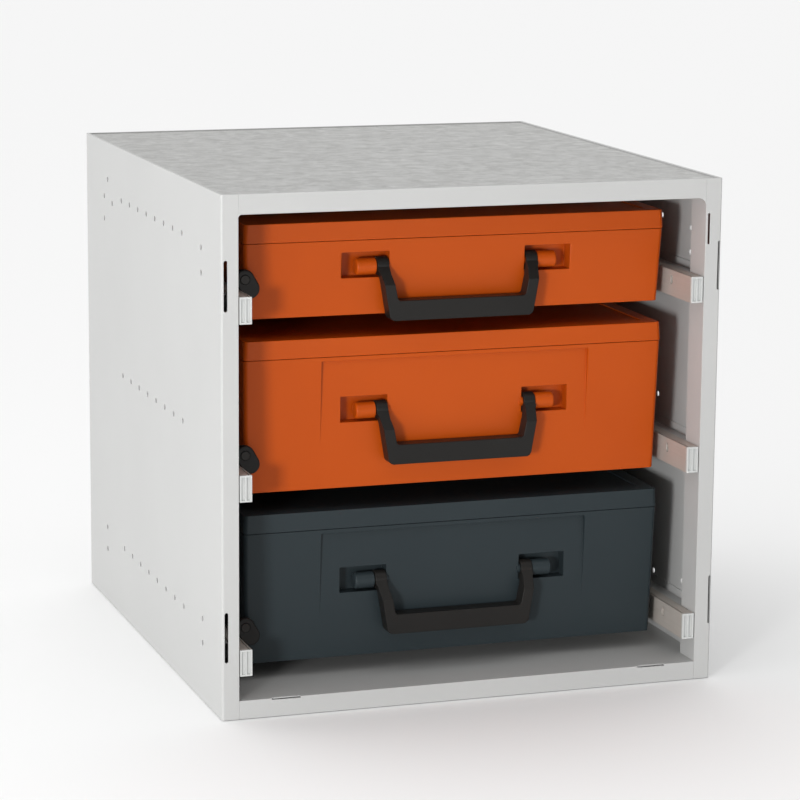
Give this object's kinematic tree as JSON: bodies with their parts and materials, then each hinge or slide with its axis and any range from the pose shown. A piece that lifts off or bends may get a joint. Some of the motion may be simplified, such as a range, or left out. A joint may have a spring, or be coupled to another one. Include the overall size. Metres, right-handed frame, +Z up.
{
  "type": "parts organizer cabinet",
  "caption": "Sheet-steel cabinet, open at the front, holding removable plastic carrying cases with lids and swing handles on full-extension ball-bearing slides.",
  "frame": {"origin": "middle of the cabinet's base", "axes": "+X right, +Y into the cabinet from its open front, +Z up"},
  "size_m": [0.502, 0.546, 0.5],
  "materials": {
    "cabinet_paint": "light grey powder coat, fine satin texture",
    "mat_felt": "mottled grey felt",
    "zinc_steel": "zinc plated, satin",
    "bright_steel": "bright plated",
    "black_steel": "blackened, satin",
    "white_plastic": "moulded, matt",
    "black_plastic": "moulded, satin black",
    "orange_plastic": "moulded, semi-gloss orange",
    "charcoal_plastic": "moulded, semi-gloss charcoal",
    "grey_plastic": "extruded sheet, matt"
  },
  "bodies": {
    "cabinet": {"left_side_panel": "cabinet_paint", "right_side_panel": "cabinet_paint", "top_panel": "cabinet_paint", "bottom_panel": "cabinet_paint", "back_panel": "cabinet_paint", "top_mat": "mat_felt", "slide_spacers": "cabinet_paint", "slide_screws": "bright_steel", "upper_outer_slide_left": "zinc_steel", "upper_outer_slide_right": "zinc_steel", "middle_outer_slide_left": "zinc_steel", "middle_outer_slide_right": "zinc_steel", "lower_outer_slide_left": "zinc_steel", "lower_outer_slide_right": "zinc_steel"},
    "upper_runner": {"upper_mid_slide_left": "zinc_steel", "upper_mid_slide_right": "zinc_steel", "upper_slide_balls": "bright_steel"},
    "upper_drawer": {"upper_inner_slide_left": "zinc_steel", "upper_inner_slide_right": "zinc_steel", "upper_carrier_left": "zinc_steel", "upper_carrier_right": "zinc_steel", "upper_end_caps": "white_plastic", "upper_catch_screw": "black_steel", "upper_case_base": "orange_plastic", "upper_hinge_pin": "bright_steel", "upper_dividers": "grey_plastic"},
    "upper_lid": {"upper_case_lid": "orange_plastic"},
    "upper_handle": {"upper_handle": "black_plastic"},
    "upper_catch": {"upper_catch": "black_plastic"},
    "middle_runner": {"middle_mid_slide_left": "zinc_steel", "middle_mid_slide_right": "zinc_steel", "middle_slide_balls": "bright_steel"},
    "middle_drawer": {"middle_inner_slide_left": "zinc_steel", "middle_inner_slide_right": "zinc_steel", "middle_carrier_left": "zinc_steel", "middle_carrier_right": "zinc_steel", "middle_end_caps": "white_plastic", "middle_catch_screw": "black_steel", "middle_case_base": "orange_plastic", "middle_hinge_pin": "bright_steel", "middle_dividers": "grey_plastic"},
    "middle_lid": {"middle_case_lid": "orange_plastic"},
    "middle_handle": {"middle_handle": "black_plastic"},
    "middle_catch": {"middle_catch": "black_plastic"},
    "lower_runner": {"lower_mid_slide_left": "zinc_steel", "lower_mid_slide_right": "zinc_steel", "lower_slide_balls": "bright_steel"},
    "lower_drawer": {"lower_inner_slide_left": "zinc_steel", "lower_inner_slide_right": "zinc_steel", "lower_carrier_left": "zinc_steel", "lower_carrier_right": "zinc_steel", "lower_end_caps": "white_plastic", "lower_catch_screw": "black_steel", "lower_case_base": "charcoal_plastic", "lower_hinge_pin": "bright_steel", "lower_dividers": "grey_plastic"},
    "lower_lid": {"lower_case_lid": "charcoal_plastic"},
    "lower_handle": {"lower_handle": "black_plastic"},
    "lower_catch": {"lower_catch": "black_plastic"}
  },
  "joints": [
    {"name": "upper_drawer_slide", "type": "slide", "parent": "cabinet", "child": "upper_drawer", "axis": [0, -1, 0], "range_m": [0, 0.48]},
    {"name": "upper_runner_slide", "type": "slide", "parent": "cabinet", "child": "upper_runner", "axis": [0, -1, 0], "range_m": [0, 0.24]},
    {"name": "upper_lid_hinge", "type": "hinge", "parent": "upper_drawer", "child": "upper_lid", "pos_m": [0, 0.2256, 0.4452], "axis": [-1, 0, 0], "range_deg": [0, 1.7]},
    {"name": "upper_handle_swing", "type": "hinge", "parent": "upper_drawer", "child": "upper_handle", "pos_m": [0, -0.211, 0.419], "axis": [-1, 0, 0], "range_deg": [0, 90]},
    {"name": "upper_catch_turn", "type": "hinge", "parent": "upper_drawer", "child": "upper_catch", "pos_m": [-0.2145, -0.223, 0.413], "axis": [0, -1, 0], "range_deg": [0, 150]},
    {"name": "middle_drawer_slide", "type": "slide", "parent": "cabinet", "child": "middle_drawer", "axis": [0, -1, 0], "range_m": [0, 0.48]},
    {"name": "middle_runner_slide", "type": "slide", "parent": "cabinet", "child": "middle_runner", "axis": [0, -1, 0], "range_m": [0, 0.24]},
    {"name": "middle_lid_hinge", "type": "hinge", "parent": "middle_drawer", "child": "middle_lid", "pos_m": [0, 0.2256, 0.3337], "axis": [-1, 0, 0], "range_deg": [0, 1.7]},
    {"name": "middle_handle_swing", "type": "hinge", "parent": "middle_drawer", "child": "middle_handle", "pos_m": [0, -0.211, 0.279], "axis": [-1, 0, 0], "range_deg": [0, 90]},
    {"name": "middle_catch_turn", "type": "hinge", "parent": "middle_drawer", "child": "middle_catch", "pos_m": [-0.2145, -0.223, 0.2445], "axis": [0, -1, 0], "range_deg": [0, 150]},
    {"name": "lower_drawer_slide", "type": "slide", "parent": "cabinet", "child": "lower_drawer", "axis": [0, -1, 0], "range_m": [0, 0.48]},
    {"name": "lower_runner_slide", "type": "slide", "parent": "cabinet", "child": "lower_runner", "axis": [0, -1, 0], "range_m": [0, 0.24]},
    {"name": "lower_lid_hinge", "type": "hinge", "parent": "lower_drawer", "child": "lower_lid", "pos_m": [0, 0.2256, 0.1652], "axis": [-1, 0, 0], "range_deg": [0, 1.7]},
    {"name": "lower_handle_swing", "type": "hinge", "parent": "lower_drawer", "child": "lower_handle", "pos_m": [0, -0.211, 0.1105], "axis": [-1, 0, 0], "range_deg": [0, 90]},
    {"name": "lower_catch_turn", "type": "hinge", "parent": "lower_drawer", "child": "lower_catch", "pos_m": [-0.2145, -0.223, 0.076], "axis": [0, -1, 0], "range_deg": [0, 150]}
  ],
  "couplings": [
    {"joint": "upper_runner_slide", "follows": "upper_drawer_slide", "ratio": 0.5},
    {"joint": "middle_runner_slide", "follows": "middle_drawer_slide", "ratio": 0.5},
    {"joint": "lower_runner_slide", "follows": "lower_drawer_slide", "ratio": 0.5}
  ]
}
